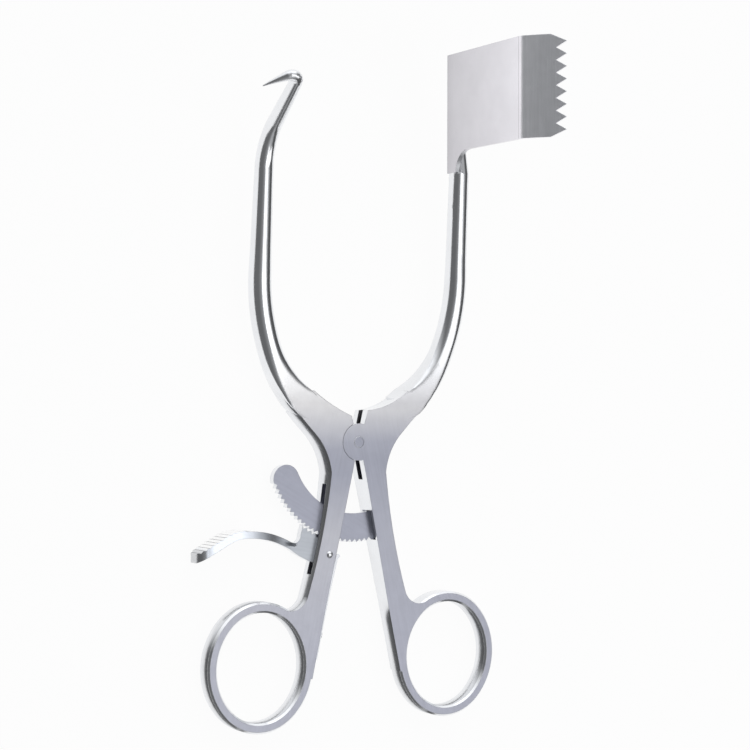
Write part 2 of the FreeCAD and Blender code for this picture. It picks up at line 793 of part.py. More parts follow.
def lip_profile():
    """Section of the blade along its depth: a straight plate, a bend and a curled lip."""
    face, back = blade_face_x(), blade_back_z()
    thick, tip = size("blade_thickness"), size("lip_tip_thickness")
    bend = size("lip_bend_radius")
    first, curl = math.radians(size("lip_angle")), math.radians(size("lip_curl"))
    top = back + size("blade_depth")
    outer = bend - thick
    turn_x = face + bend
    half = first / 2

    def on_bend(radius, angle):
        return turn_x - radius * math.cos(angle), top + radius * math.sin(angle)

    inner_end = on_bend(bend, first)
    outer_end = on_bend(outer, first)

    def along_lip(start, length, angle):
        return start[0] + length * math.sin(angle), start[1] + length * math.cos(angle)

    length = size("lip_length")
    inner_middle = along_lip(inner_end, length / 2, first + curl / 4)
    inner_tip = along_lip(inner_end, length, first + curl / 2)
    final = first + curl
    outer_tip = (inner_tip[0] + tip * math.cos(final), inner_tip[1] - tip * math.sin(final))
    middle_thick = (thick + tip) / 2
    outer_middle = (inner_middle[0] + middle_thick * math.cos(first + curl / 2),
                    inner_middle[1] - middle_thick * math.sin(first + curl / 2))
    start = (face, back)
    steps = [
        ((face, top),),
        (on_bend(bend, half), inner_end),
        (inner_middle, inner_tip),
        (outer_tip,),
        (outer_middle, outer_end),
        (on_bend(outer, half), (face + thick, top)),
        ((face + thick, back),),
        (start,),
    ]
    return start, steps, inner_end, inner_tip, first + curl / 2


def toothed_blade():
    body = new_body("toothed_blade")
    low, width = size("blade_low"), size("blade_width")
    start, steps, lip_start, lip_tip, lip_turn = lip_profile()
    # section in the XZ plane, moved to the middle of the blade's width
    middle = Placement(Vector(0, 0, -(low + width / 2)), Rotation())
    section = new_sketch(body, "blade_section", "XZ_Plane", middle)
    draw_outline(section, start, steps)
    add_pad(body, "plate", section, "sizes.blade_width")
    # root that runs down the rod, with a round corner up to the plate's lower edge
    face, back, root = blade_face_x(), blade_back_z(), blade_root()
    radius = size("blade_root_radius")
    front = back + 2 * size("blade_back")
    corner = (low + radius * (math.sqrt(0.5) - 1), front + radius * (1 - math.sqrt(0.5)))
    overlap = size("blade_thickness")
    place = Placement(Vector(0, 0, face + size("blade_thickness") / 2), Rotation())
    tail = new_sketch(body, "root_outline", "YZ_Plane", place)
    draw_outline(tail, (root, back), [((low + overlap, back),), ((low + overlap, front + radius),),
                                      ((low, front + radius),), (corner, (low - radius, front)),
                                      ((root, front),), ((root, back),)])
    add_pad(body, "root", tail, "sizes.blade_thickness")
    # teeth: notches square to the lip, and a slanted corner at each end
    pitch, depth = size("tooth_pitch"), size("tooth_depth")
    across = Vector(math.sin(lip_turn), 0, math.cos(lip_turn))
    normal = Vector(math.cos(lip_turn), 0, -math.sin(lip_turn))
    tip = Vector(lip_tip[0], low + width / 2, lip_tip[1])
    lip_plane = Placement(tip, Rotation(Vector(0, 1, 0), across, normal, "ZXY"))
    count = int(size("tooth_count"))
    notches = new_sketch(body, "notch_outline", offset=lip_plane)
    over = depth / 3
    spread = pitch / 2 * (1 + over / depth)
    for number in range(count - 1):
        x = (number - (count - 2) / 2) * pitch
        draw_outline(notches, (x, -depth), [((x + spread, over),), ((x - spread, over),), ((x, -depth),)])
    cut_pocket(body, "notches", notches, "sizes.lip_length")
    corners = new_sketch(body, "corner_outline", offset=lip_plane)
    last, edge, cut = (count - 1) / 2 * pitch, width / 2, size("corner_cut")
    slope = (edge - last) / cut
    for end in (-1, 1):
        draw_outline(corners, (edge + slope, -cut - 1), [((edge + slope, over),), ((last - slope * over, over),),
                                                         ((edge + slope, -cut - 1),)], end)
    corner_cuts = cut_pocket(body, "corner_cuts", corners, "sizes.lip_length")
    body.Tip = corner_cuts
    return body


def turn_about_axis(body, name, profile):
    """Full turn of a half section about its sketch's vertical axis."""
    turned = body.newObject("PartDesign::Revolution", name)
    turned.Profile = profile
    turned.ReferenceAxis = (profile, ["V_Axis"])
    turned.Angle = 360
    return turned


def pivot_pin():
    body = new_body("pivot_pin")
    radius, half, chamfer = size("pivot_radius"), size("box_thickness") / 2, size("pin_chamfer")
    profile = new_sketch(body, "pin_profile", "XZ_Plane")
    draw_outline(profile, (0, half), [((radius - chamfer, half),), ((radius, half - chamfer),),
                                      ((radius, chamfer - half),), ((radius - chamfer, -half),),
                                      ((0, -half),), ((0, half),)])
    turn_about_axis(body, "pin", profile)
    return body


def shank_half_thickness(y):
    """Half the shank's thickness at a height below the pivot."""
    share = (y - size("taper_start")) / (size("taper_end") - size("taper_start"))
    return (size("box_thickness") + (size("ring_thickness") - size("box_thickness")) * share) / 2


def dome_middle(radius, height):
    """Middle of a dome's outline, above the dome's base and counted from its axis."""
    sphere = (radius ** 2 + height ** 2) / (2 * height)
    turn = math.asin(radius / sphere) / 2
    return sphere * math.sin(turn), height - sphere * (1 - math.cos(turn))


def lever_pin():
    body = new_body("lever_pin")
    x, y = lever_pin_centre()
    place = Placement(Vector(x, 0, -y), Rotation())
    radius, dome = size("lever_pin_radius"), size("lever_pin_dome")
    face = shank_half_thickness(-y)
    profile = new_sketch(body, "pin_profile", "XZ_Plane", place)
    wide, high = dome_middle(radius, dome)
    draw_outline(profile, (0, face + dome), [((wide, face + high), (radius, face)),
                                             ((radius, -face),),
                                             ((wide, -face - high), (0, -face - dome)),
                                             ((0, face + dome),)])
    turn_about_axis(body, "pin", profile)
    return body


def ratchet_notch(tip_radius, root_radius):
    """Tip, valley and next tip of the space after the first ratchet tooth."""
    first = size("ratchet_first_tooth")
    valley = first + size("ratchet_pitch") * size("ratchet_valley")
    return polar(tip_radius, first), polar(root_radius, valley), polar(tip_radius, first + size("ratchet_pitch"))


def ratchet_bar():
    body = new_body("ratchet_bar")
    inner, tip = size("ratchet_inner_radius"), size("ratchet_tip_radius")
    middle, half = (inner + tip) / 2, (tip - inner) / 2
    end_angle = size("ratchet_end_angle")
    along = shank_tangent()[0]
    inward = Vector(-along.y, along.x, 0)
    top, bottom = ratchet_root_span()
    root = inward * size("ratchet_root_depth")
    wall_top = Vector(shank_wall_x(top), -top, 0)
    wall_bottom = Vector(shank_wall_x(bottom), -bottom, 0)
    inner_angle = math.degrees(math.atan2(wall_top.y, wall_top.x)) + 180
    tip_angle = math.degrees(math.atan2(wall_bottom.y, wall_bottom.x)) + 180
    round_end = polar(middle, end_angle - math.degrees(half / middle))
    start = polar(inner, end_angle)
    steps = [
        (polar(inner, (end_angle + inner_angle) / 2), polar(inner, inner_angle)),
        ((wall_top.x + root.x, wall_top.y + root.y),),
        ((wall_bottom.x + root.x, wall_bottom.y + root.y),),
        (polar(tip, tip_angle),),
        (polar(tip, (end_angle + tip_angle) / 2), polar(tip, end_angle)),
        (round_end, start),
    ]
    outline = new_sketch(body, "bar_outline")
    draw_outline(outline, start, steps)
    add_pad(body, "bar", outline, "sizes.slot_width - 2 * sizes.slot_side_gap")
    # one tooth space, repeated along the bar
    space = new_sketch(body, "tooth_space")
    first, valley, last = ratchet_notch(tip, tip - size("ratchet_tooth_height"))
    lift = 1 + size("ratchet_tooth_height") / tip
    draw_outline(space, first, [(valley,), (last,), ((last[0] * lift, last[1] * lift),),
                                ((first[0] * lift, first[1] * lift),), (first,)])
    cut = cut_pocket(body, "tooth_cut", space, "sizes.slot_width * 2")
    teeth = body.newObject("PartDesign::PolarPattern", "teeth")
    teeth.Originals = [cut]
    teeth.Axis = (origin_feature(body, "Z_Axis"), [""])
    teeth.setExpression("Occurrences", "sizes.ratchet_tooth_count")
    teeth.Angle = (size("ratchet_tooth_count") - 1) * size("ratchet_pitch")
    body.Tip = teeth
    return body


def turned_about_pin(point, angle):
    """A point of the lever after the lever turns about its pin."""
    x, y = lever_pin_centre()
    turn = math.radians(angle)
    dx, dy = point[0] - x, point[1] - y
    return (x + dx * math.cos(turn) - dy * math.sin(turn), y + dx * math.sin(turn) + dy * math.cos(turn))


def below_horizontal(point):
    return math.degrees(math.atan2(-point[1], -point[0]))


def lever_point(reach, rise):
    """Point of the lever, counted outward and up from its pin."""
    x, y = lever_pin_centre()
    return x - size(reach), y + size(rise)


def lever_teeth():
    """Points of the lever's teeth at rest, just clear of the ratchet. Turned home by
    the engage angle, each tooth stands in the middle of a ratchet tooth space."""
    tip = size("ratchet_tip_radius") + size("lever_tooth_gap")
    height, pitch = size("ratchet_tooth_height"), size("ratchet_pitch")
    edge = below_horizontal(lever_point("lever_head_reach", "lever_head_rise"))
    valley = size("ratchet_valley")
    spaces = size("ratchet_first_tooth") + pitch * valley
    first = math.ceil((edge - pitch - spaces) / pitch)
    points = []
    for number in range(int(size("lever_tooth_count"))):
        home = spaces + (first + number) * pitch
        angle = home
        for _ in range(3):
            angle += home - below_horizontal(turned_about_pin(polar(tip, angle), -size("engage_angle")))
        points.append(polar(tip, angle))
        points.append(polar(tip + height, angle + pitch * (1 - valley)))
    return points


def release_lever():
    body = new_body("release_lever")
    pin_x, pin_y = lever_pin_centre()
    teeth = lever_teeth()
    # plate of the lever in the shank's slot
    left = lever_point("lever_head_reach", "lever_head_rise")
    thick = size("tab_thickness")
    tab_top, tab_bottom = tab_root()
    hollow_x = left[0] + (tab_top[0] - left[0]) * size("lever_hollow_reach")
    hollow_y = tab_top[1] + (left[1] - tab_top[1]) * size("lever_hollow_rise")
    down, out = wall_axes()
    heel_edge = wall_point(size("heel_drop") - pin_y, size("heel_reach"))
    heel = heel_edge - out * size("heel_radius")
    heel_low = heel + down * size("heel_radius")
    heel_high = heel - down * size("heel_radius")
    bottom = (pin_x - size("lever_chin_reach"), pin_y - size("lever_chin_drop"))
    shoulder = (pin_x + size("lever_shoulder_reach"), pin_y + size("lever_shoulder_rise"))
    chin_x, chin_y = (bottom[0] + tab_bottom[0]) / 2, (bottom[1] + tab_bottom[1] - thick / 3) / 2
    start = teeth[0]
    steps = [((x, y),) for x, y in teeth[1:]]
    steps += [
        (lever_point("lever_back_reach", "lever_back_rise"),),
        (shoulder,),
        ((heel_high.x, heel_high.y),),
        ((heel_edge.x, heel_edge.y), (heel_low.x, heel_low.y)),
        (bottom,),
        ((chin_x, chin_y), tab_bottom),
        (tab_top,),
        ((hollow_x, hollow_y), left),
        (start,),
    ]
    outline = new_sketch(body, "plate_outline")
    draw_outline(outline, start, steps)
    add_pad(body, "plate", outline, "sizes.slot_width - 2 * sizes.slot_side_gap")
    # thumb tab, with ridges across its upper side
    profile = new_sketch(body, "tab_profile")
    start, steps = tab_outline()
    draw_outline(profile, start, steps)
    add_pad(body, "tab", profile, "sizes.pad_width")
    # the tab narrows to the plate's thickness and has a round end
    wide, narrow = size("pad_width") / 2, size("slot_width") / 2 - size("slot_side_gap")
    end_x, flare_x, root_x = [pin_x - size(name) for name in ("tab_length", "pad_flare", "tab_start")]
    far = size("pad_width")
    blend_x = (flare_x + root_x) / 2
    blend_z = (wide + narrow) / 2
    ease = (root_x - flare_x) / 4
    bow = size("flare_bow")
    plan = new_sketch(body, "tab_plan", "XZ_Plane")
    for flip in (1, -1):
        steps = [
            ((blend_x + ease, (blend_z + narrow) / 2 - bow), (blend_x, blend_z)),
            ((blend_x - ease, (blend_z + wide) / 2 + bow), (flare_x, wide)),
            ((end_x + wide, wide),),
            ((end_x + wide * (1 - math.sqrt(0.5)), wide * math.sqrt(0.5)), (end_x, 0)),
            ((end_x - far, 0),),
            ((end_x - far, far),),
            ((root_x, far),),
            ((root_x, narrow),),
        ]
        steps = [tuple((x, flip * z) for x, z in step) for step in steps]
        draw_outline(plan, (root_x, flip * narrow), steps)
    cut_pocket(body, "tab_shape", plan, f"{FAR}")
    hole = drill(body, "pin_hole", pin_x, pin_y, size("lever_pin_radius") + size("running_gap"))
    body.Tip = hole
    return body


def tab_rise():
    """Centre, radius and angle of the arc on which the tab rises from the plate."""
    rise = math.radians(size("tab_rise_angle"))
    radius = (size("tab_crest") - size("tab_start")) / math.sin(rise)
    crest = lever_point("tab_crest", "tab_crest_rise")
    return (crest[0], crest[1] - radius), radius, rise


def on_rise(turn, offset):
    """Point of the rising arc, turned from the crest and offset above the tab's middle."""
    centre, radius, _ = tab_rise()
    reach = radius + offset
    return centre[0] + reach * math.sin(turn), centre[1] + reach * math.cos(turn)


def tab_root():
    """Where the tab's rising arc leaves the plate, above and below."""
    rise, half = tab_rise()[2], size("tab_thickness") / 2
    return on_rise(rise, half), on_rise(rise, -half)


def tab_outline():
    """Side profile of the thumb tab: rising arc, crest, falling arc and straight end."""
    half = size("tab_thickness") / 2
    rise = tab_rise()[2]
    top, bottom = tab_root()
    fall_radius = size("tab_fall_radius")
    crest = lever_point("tab_crest", "tab_crest_rise")
    fall_centre = (crest[0], crest[1] - fall_radius)
    end_x = lever_pin_centre()[0] - size("tab_length")
    join_x = fall_centre[0] - fall_radius * math.sin(rise)
    join_y = fall_centre[1] + fall_radius * math.cos(rise)
    straight = (join_x - end_x) / math.cos(rise)
    arc_length = fall_radius * rise

    def on_tab(gone, offset):
        """Point at a distance past the crest, offset above the tab's middle."""
        if gone < arc_length:
            turn = gone / fall_radius
            reach = fall_radius + offset
            return fall_centre[0] - reach * math.sin(turn), fall_centre[1] + reach * math.cos(turn)
        past = gone - arc_length
        return (join_x - past * math.cos(rise) - offset * math.sin(rise),
                join_y - past * math.sin(rise) + offset * math.cos(rise))

    total = arc_length + straight
    pitch, count = size("ridge_pitch"), int(size("ridge_count"))
    first = total - (count + 0.5) * pitch
    ridges = []
    for number in range(count):
        ridges.append((on_tab(first + (number + 0.5) * pitch, half + size("ridge_height")),))
        ridges.append((on_tab(first + (number + 1) * pitch, half),))
    start = top
    steps = [(on_rise(rise / 2, half), on_rise(0, half)), (on_tab(first, half),)]
    steps += ridges
    steps += [
        (on_tab(total, half),),
        (on_tab(total, -half),),
        (on_tab(arc_length, -half),),
        (on_tab(arc_length / 2, -half), on_tab(0, -half)),
        (on_rise(rise / 2, -half), bottom),
        (start,),
    ]
    return start, steps


def leaf_spring():
    """Strip that lies on the shank's inner wall at its foot and bears on the lever's heel."""
    body = new_body("leaf_spring")
    thick, gap = size("spring_thickness"), size("spring_gap")
    foot = spring_foot()
    lift, top = foot - size("spring_seat_length"), foot - size("spring_length")
    seat = size("fixed_gap")
    middle = (lift + top) / 2
    bow = seat + (gap - seat) * size("spring_bow")
    curl = size("spring_curl")
    down, out = wall_axes()

    def near(y, away):
        point = wall_point(y, away)
        return point.x, point.y

    crown = near(top - curl, gap + thick / 2)
    start = near(foot, seat)
    steps = [
        (near(lift, seat),),
        (near(middle, bow), near(top, gap)),
        (crown, near(top, gap + thick + curl / 2)),
        (near(top + curl, gap + thick),),
        (near(middle, bow + thick), near(lift, seat + thick)),
        (near(foot, seat + thick),),
        (start,),
    ]
    side = new_sketch(body, "spring_side")
    draw_outline(side, start, steps)
    add_pad(body, "strip", side, "sizes.spring_width")
    hole = new_sketch(body, "screw_clearance", offset=screw_place(0))
    draw_circle(hole, 0, 0, size("screw_radius") + size("running_gap"))
    clearance = cut_pocket(body, "screw_clearance_hole", hole, "4 * sizes.spring_thickness")
    body.Tip = clearance
    return body


def spring_screw():
    """Cheese-head screw with a domed, slotted head."""
    body = new_body("spring_screw")
    shaft, head = size("screw_radius"), size("screw_head_radius")
    seat = size("spring_thickness") + 2 * size("fixed_gap")
    top = seat + size("screw_head_height")
    bottom = size("fixed_gap") - size("screw_depth")
    rim = seat + size("screw_rim_height")
    down, out = wall_axes()
    base = wall_point(screw_depth())
    place = Placement(base, Rotation(down, out, down.cross(out), "ZXY"))
    profile = new_sketch(body, "screw_profile", offset=place)
    wide, high = dome_middle(head, top - rim)
    draw_outline(profile, (0, bottom), [((shaft, bottom),), ((shaft, seat),), ((head, seat),),
                                        ((head, rim),), ((wide, rim + high), (0, top)),
                                        ((0, bottom),)])
    turn_about_axis(body, "screw", profile)
    slot = new_sketch(body, "slot_outline", offset=place)
    half, deep = size("screw_slot_width") / 2, top - size("screw_slot_depth")
    over = top + size("screw_head_height")
    draw_outline(slot, (-half, deep), [((half, deep),), ((half, over),), ((-half, over),), ((-half, deep),)])
    groove = cut_pocket(body, "driver_slot", slot, "4 * sizes.screw_head_radius")
    body.Tip = groove
    return body


PIECES = [hook_arm, blade_arm, toothed_blade, pivot_pin, ratchet_bar, release_lever,
          lever_pin, leaf_spring, spring_screw]
bodies = [piece() for piece in PIECES]
doc.recompute()

for item in doc.Objects:
    if "Invalid" in item.State or "Error" in item.State:
        raise RuntimeError(f"{item.Name} did not recompute: {item.State}")
os.makedirs("parts", exist_ok=True)
for body in bodies:
    shape = body.Shape
    if shape.isNull() or not shape.isValid() or len(shape.Solids) != 1:
        raise RuntimeError(f"{body.Label} is not one valid solid")
    shape.exportStep(f"parts/{body.Label}.step")
    print(body.Label, round(shape.Volume, 2), shape.BoundBox)
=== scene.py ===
# Looks, light and camera for the surgical retractor. Metres, in the part's own frame:
# +X from the hook arm to the blade arm, +Y towards the tips, +Z up from the table.
import math

import bmesh
import bpy
from mathutils import Matrix, Vector


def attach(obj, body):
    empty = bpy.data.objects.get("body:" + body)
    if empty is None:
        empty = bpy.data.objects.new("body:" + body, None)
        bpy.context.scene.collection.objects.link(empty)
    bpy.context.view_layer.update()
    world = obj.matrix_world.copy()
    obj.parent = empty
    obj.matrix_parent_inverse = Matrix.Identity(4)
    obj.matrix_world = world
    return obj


MM = 0.001

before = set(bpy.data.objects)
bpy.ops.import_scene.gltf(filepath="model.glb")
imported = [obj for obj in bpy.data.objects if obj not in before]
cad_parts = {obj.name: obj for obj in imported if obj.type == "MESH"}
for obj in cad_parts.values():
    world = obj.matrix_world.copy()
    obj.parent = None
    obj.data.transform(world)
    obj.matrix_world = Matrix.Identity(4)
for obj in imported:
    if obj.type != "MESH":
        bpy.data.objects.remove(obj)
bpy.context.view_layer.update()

# Colours and finishes

SATIN = (0.36, 0.37, 0.435)
# A paler colour for a painted highlight on the arms' faces
PAINTED_SHEEN = (0.72, 0.71, 0.70)
POLISHED = (0.86, 0.87, 0.89)
PLATE = (0.87, 0.855, 0.90)
LIP = (0.82, 0.83, 0.86)
LEVER = (0.40, 0.42, 0.455)
SPRING = (0.62, 0.63, 0.66)
WHITE = (1.0, 1.0, 1.0)

EDGE_ROUNDING = 0.16 * MM
FINE_ROUNDING = 0.05 * MM
ROD_ROUNDING = 0.6 * MM

# Noises of the finishes: scale, detail and roughness
SCRATCHES = (9000, 4.0, 0.6)
STREAKS = (1900, 2.0, 0.5)
CLOUDS = (95, 3.0, 0.6)
HANDLING = (420, 4.0, 0.65)
GRAIN_STRETCH = (1.0, 0.035, 1.0)
SCRATCH_DEPTH = 0.03 * MM

# The thumb pad's grooves are the places that face this far towards the tips; painted shade, this share of the
# satin colour, darkens them
GROOVE_FACING, GROOVE_SHADE = 0.93, 0.3

# Side walls that are ground round towards the front, and darkened there with painted shade
BOW_POWER, WALL_SHADE = 1.2, 0.55
NECK_EASE = (-4 * MM, 14 * MM)
NECK_END = (11 * MM, 14 * MM)
ROD_START = (8 * MM, 20 * MM)

# Middle line of the upper arms, in millimetres and degrees, as the CAD arms have it

NECK_X, NECK_Y, NECK_FOOT = 17.3, 11.2, 5.5
NECK_TURN, BEND_CHANGE = 53.0, 22.0
LOW_BEND, HIGH_BEND = 31.7, 57.0
ROD_LEAN, NECK_LEAN, LEAN_LENGTH = 0.0752, 0.1316, 22.0
ARM_HALF, ROD_HALF, NECK_HALF, ARM_MIDDLE = 3.475, 3.05, 3.75, 3.5
FLAT_TURN, ROUND_TURN = 52.0, 41.3

# Skins over the arms' bends, in millimetres and degrees

SKIN, SUNK_LOW, SUNK_HIGH = 0.10, -0.06, -0.10
SKIN_START, SKIN_STEP, SETTLED_RING = 60.0, 1.5, 5
TAIL_RINGS, TAIL_STEP = 6, 2.0
SKIN_CORNERS, SKIN_CREASE = 72, 35
# Turn and power of the rounded section: 2 is a circle, 30 is nearly square
SECTION = ((20, 2.0), (27, 2.3), (34, 3.0), (41, 4.5), (47, 8.0), (50, 16.0), (52, 30.0))


class Nodes:
    """Small helper that adds linked nodes to a node tree."""

    # Sockets of the Mix node by kind of value: first, second and result
    MIX_SOCKETS = {"FLOAT": (2, 3, 0), "VECTOR": (4, 5, 1), "RGBA": (6, 7, 2)}

    def __init__(self, tree):
        self.tree = tree
        tree.nodes.clear()

    def feed(self, socket, value):
        """Links a socket, or gives it a constant."""
        if isinstance(value, bpy.types.NodeSocket):
            self.tree.links.new(value, socket)
        elif value is not None:
            socket.default_value = value

    def add(self, kind, inputs=None, **settings):
        node = self.tree.nodes.new(kind)
        for name, value in settings.items():
            setattr(node, name, value)
        for name, value in (inputs or {}).items():
            self.feed(node.inputs[name], value)
        return node

    def split(self, vector):
        return self.add("ShaderNodeSeparateXYZ", {"Vector": vector}).outputs

    def noise(self, vector, scale, detail, roughness):
        inputs = {"Vector": vector, "Scale": scale, "Detail": detail, "Roughness": roughness}
        return self.add("ShaderNodeTexNoise", inputs).outputs["Fac"]

    def spread(self, value, low, high, to_low, to_high):
        inputs = {"Value": value, "From Min": low, "From Max": high, "To Min": to_low, "To Max": to_high}
        return self.add("ShaderNodeMapRange", inputs).outputs["Result"]

    def mix(self, kind, factor, low, high):
        node = self.add("ShaderNodeMix", data_type=kind)
        first, second, result = self.MIX_SOCKETS[kind]
        for index, value in ((0, factor), (first, low), (second, high)):
            self.feed(node.inputs[index], value)
        return node.outputs[result]

    def maths(self, operation, first, second=0.0):
        node = self.add("ShaderNodeMath", operation=operation)
        self.feed(node.inputs[0], first)
        self.feed(node.inputs[1], second)
        return node.outputs[0]

    def vector(self, operation, first, second=None, scale=None):
        inputs = {} if scale is None else {"Scale": scale}
        node = self.add("ShaderNodeVectorMath", inputs, operation=operation)
        self.feed(node.inputs[0], first)
        self.feed(node.inputs[1], second)
        return node.outputs["Vector"]

    def ramp(self, value, stops):
        """Piecewise straight curve through (value, result) stops."""
        low, high = stops[0][0], stops[-1][0]
        peak = max(result for _, result in stops)
        node = self.add("ShaderNodeValToRGB", {"Fac": self.spread(value, low, high, 0.0, 1.0)})
        steps = node.color_ramp.elements
        steps[0].color = (stops[0][1] / peak,) * 3 + (1.0,)
        steps[-1].color = (stops[-1][1] / peak,) * 3 + (1.0,)
        for place, result in stops[1:-1]:
            steps.new((place - low) / (high - low)).color = (result / peak,) * 3 + (1.0,)
        return self.maths("MULTIPLY", node.outputs["Color"], peak)


def shade(colour, amount):
    return tuple(min(1.0, part * amount) for part in colour) + (1.0,)


def steel(name, satin=SATIN, rough_satin=0.36, polished=POLISHED, rough_polished=0.13,
          face_from=(0.9, 0.97), grain_angle=0.0, grain=1.0, painted_sheen=None, painted_light=None, polish=None,
          bow_and_shade=None, ridges=None, rounding=EDGE_ROUNDING):
    """Forged steel with brushed satin faces and polished side walls. The grain runs at an
    angle from +Y. polish = (low y, high y) fades the satin into polish along the arm. The sheen
    stops, (y, share), are a painted highlight: a paler colour on the faces. The painted light,
    (axis, stops), paints light and shade over the whole piece. The bow stops, (y, amount), say how
    far an arm's side walls are ground round towards the front and how much painted shade darkens
    them there. ridges = x below which painted shade darkens a thumb pad's grooves."""
    material = bpy.data.materials.new(name)
    material.use_nodes = True
    nodes = Nodes(material.node_tree)
    place = nodes.add("ShaderNodeTexCoord").outputs["Object"]
    at = nodes.split(place)
    normal = nodes.add("ShaderNodeNewGeometry").outputs["Normal"]
    facing = nodes.split(normal)
    flatness = nodes.maths("ABSOLUTE", facing["Z"])
    face = nodes.spread(flatness, *face_from, 0.0, 1.0)
    if polish is not None:
        face = nodes.maths("MULTIPLY", face, nodes.spread(at["Y"], *polish, 1.0, 0.0))

    turned = nodes.add("ShaderNodeMapping", {"Vector": place, "Rotation": (0, 0, -grain_angle)})
    along = nodes.add("ShaderNodeMapping", {"Vector": turned.outputs["Vector"], "Scale": GRAIN_STRETCH})
    scratches = nodes.noise(along.outputs["Vector"], *SCRATCHES)
    streaks = nodes.spread(nodes.noise(along.outputs["Vector"], *STREAKS), 0.25, 0.75, 0.0, 1.0)
    clouds = nodes.spread(nodes.noise(place, *CLOUDS), 0.3, 0.7, 0.0, 1.0)
    handling = nodes.noise(place, *HANDLING)

    brushed = nodes.mix("RGBA", streaks, shade(satin, 0.95), shade(satin, 1.05))
    # a painted highlight: the faces pale towards the sheen colour by stops along Y
    if painted_sheen is not None:
        brushed = nodes.mix("RGBA", nodes.ramp(at["Y"], painted_sheen), brushed, PAINTED_SHEEN + (1.0,))
    bright = nodes.mix("RGBA", clouds, shade(polished, 0.96), shade(polished, 1.03))
    base = nodes.mix("RGBA", face, bright, brushed)
    # painted light and shade along one axis of the piece
    if painted_light is not None:
        axis, stops = painted_light
        base = nodes.vector("MULTIPLY", base, nodes.ramp(at[axis], stops))
    # painted shade in the thumb pad's grooves
    if ridges is not None:
        painted_groove_shade = nodes.maths("MULTIPLY", nodes.maths("GREATER_THAN", facing["Y"], GROOVE_FACING),
                             nodes.maths("LESS_THAN", at["X"], ridges))
        base = nodes.mix("RGBA", painted_groove_shade, base, shade(SATIN, GROOVE_SHADE))

    rough = nodes.mix("FLOAT", face, rough_polished, rough_satin)
    worn = nodes.spread(handling, 0.3, 0.75, -0.02, 0.03)
    fine = nodes.spread(scratches, 0.3, 0.7, -0.02 * grain, 0.03 * grain)
    rough = nodes.maths("ADD", nodes.maths("ADD", rough, worn), fine)

    radius = rounding
    if bow_and_shade is not None:
        # the side walls lean towards the front the higher they are, and painted shade darkens them there
        height = nodes.maths("MAXIMUM", nodes.maths("DIVIDE", at["Z"], 2 * ARM_MIDDLE * MM), 0.0)
        amount = nodes.maths("MULTIPLY", nodes.maths("POWER", height, BOW_POWER),
                             nodes.ramp(at["Y"], bow_and_shade))
        wall = nodes.maths("MULTIPLY", amount, nodes.spread(flatness, 0.05, 0.3, 1.0, 0.0))
        # painted shade: the walls darken towards the front by WALL_SHADE
        base = nodes.mix("RGBA", nodes.spread(wall, 0.3, 1.2, 0.0, 1.0), base,
                         nodes.vector("SCALE", base, scale=WALL_SHADE))
        rough = nodes.maths("ADD", rough, nodes.spread(wall, 0.0, 0.2, 0.0, 0.10))
        tilt = nodes.add("ShaderNodeCombineXYZ", {"Z": wall}).outputs["Vector"]
        normal = nodes.vector("NORMALIZE", nodes.vector("ADD", normal, tilt))
        # the neck's face eases into its forward lean
        slope = nodes.spread(at["Y"], *NECK_EASE, 0.0, -NECK_LEAN)
        eased = nodes.add("ShaderNodeCombineXYZ", {"Y": slope, "Z": 1.0}).outputs["Vector"]
        eased = nodes.vector("SCALE", nodes.vector("NORMALIZE", eased), scale=nodes.maths("SIGN", facing["Z"]))
        on_neck = nodes.maths("MULTIPLY", nodes.spread(flatness, 0.98, 0.985, 0.0, 1.0),
                              nodes.spread(at["Y"], *NECK_END, 1.0, 0.0))
        normal = nodes.mix("VECTOR", on_neck, normal, eased)
        radius = nodes.spread(at["Y"], *ROD_START, rounding, ROD_ROUNDING)
    soft = nodes.add("ShaderNodeBevel", {"Radius": radius, "Normal": normal}, samples=6)
    strength = nodes.spread(face, 0.0, 1.0, 0.02 * grain, 0.14 * grain)
    bump = nodes.add("ShaderNodeBump", {"Height": scratches, "Strength": strength,
                                        "Distance": SCRATCH_DEPTH, "Normal": soft.outputs["Normal"]})
    shader = nodes.add("ShaderNodeBsdfPrincipled", {
        "Base Color": base, "Metallic": 1.0, "Roughness": rough, "Normal": bump.outputs["Normal"]})
    output = nodes.add("ShaderNodeOutputMaterial")
    nodes.feed(output.inputs["Surface"], shader.outputs["BSDF"])
    return material


def dress(node, material):
    """Gives a CAD node one material on all its faces. Its shape stays as it is."""
    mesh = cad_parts[node].data
    mesh.materials.clear()
    mesh.materials.append(material)
    for polygon in mesh.polygons:
        polygon.material_index = 0


def between(value, stops):
    """Piecewise straight curve through (value, result) stops, level beyond both ends."""
    for (low, first), (high, last) in zip(stops, stops[1:]):
        if value <= high:
            return first + (last - first) * max(0.0, (value - low) / (high - low))
    return stops[-1][1]


def arm_frame(turn):
    """Point, heading, across and up of an arm whose heading is this many degrees off +Y."""
    angle, first, change = math.radians(turn), math.radians(NECK_TURN), math.radians(BEND_CHANGE)
    low = max(angle, change)
    x = NECK_X + LOW_BEND * (math.cos(low) - math.cos(first))
    y = NECK_Y + LOW_BEND * (math.sin(first) - math.sin(low))
    if angle < change:
        x += HIGH_BEND * (math.cos(angle) - math.cos(change))
        y += HIGH_BEND * (math.sin(change) - math.sin(angle))
    rise = y - NECK_Y
    fade = 1 - min(max(rise / LEAN_LENGTH, 0.0), 1.0)
    lean = ROD_LEAN + (NECK_LEAN - ROD_LEAN) * fade
    if rise < 0:
        z = NECK_LEAN * (y - NECK_FOOT)
    else:
        z = NECK_LEAN * (NECK_Y - NECK_FOOT) + ROD_LEAN * rise
        z += (NECK_LEAN - ROD_LEAN) * LEAN_LENGTH / 2 * (1 - fade ** 2)
    heading = Vector((math.sin(angle), math.cos(angle), lean * math.cos(angle))).normalized()
    up = Vector((0, -lean, 1)).normalized()
    return Vector((x, y, z + ARM_MIDDLE)), heading, heading.cross(up), up


